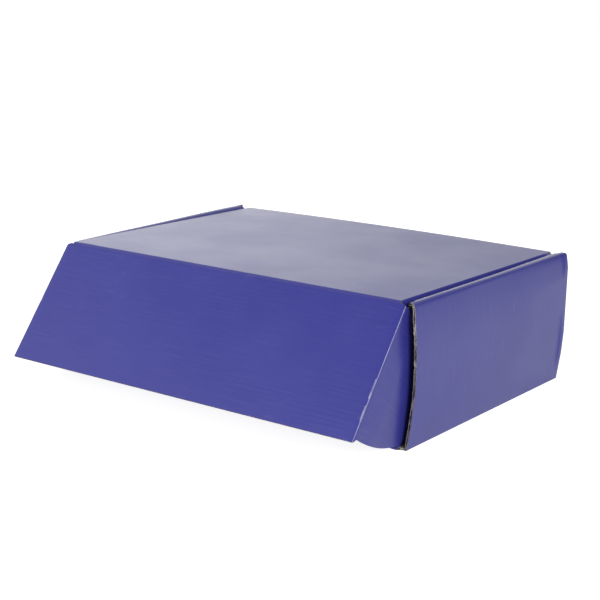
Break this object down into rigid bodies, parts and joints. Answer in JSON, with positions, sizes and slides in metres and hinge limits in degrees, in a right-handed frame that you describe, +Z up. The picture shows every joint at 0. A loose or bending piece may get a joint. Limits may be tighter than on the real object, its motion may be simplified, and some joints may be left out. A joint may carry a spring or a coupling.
{
  "type": "corrugated mailer box",
  "caption": "Folded corrugated mailer box with rolled side walls, a shut lid and a hinged front flap with two tuck-in ears.",
  "frame": {"origin": "middle of the bottom panel's underside, on the surface the box stands on", "axes": "+X to the right along the front, +Y from the front flap to the back wall, +Z up"},
  "size_m": [0.3266, 0.2787, 0.1002],
  "materials": {
    "printed_board": "blue-violet printed liner with a slight satin sheen, grey-brown at cut edges"
  },
  "bodies": {
    "box": {"tray": "printed_board", "lid": "printed_board"},
    "flap": {"front_flap": "printed_board"}
  },
  "joints": [
    {"name": "flap_hinge", "type": "hinge", "parent": "box", "child": "flap", "pos_m": [0, -0.10995, 0.0994], "axis": [-1, 0, 0], "range_deg": [-35.2, 83]}
  ]
}
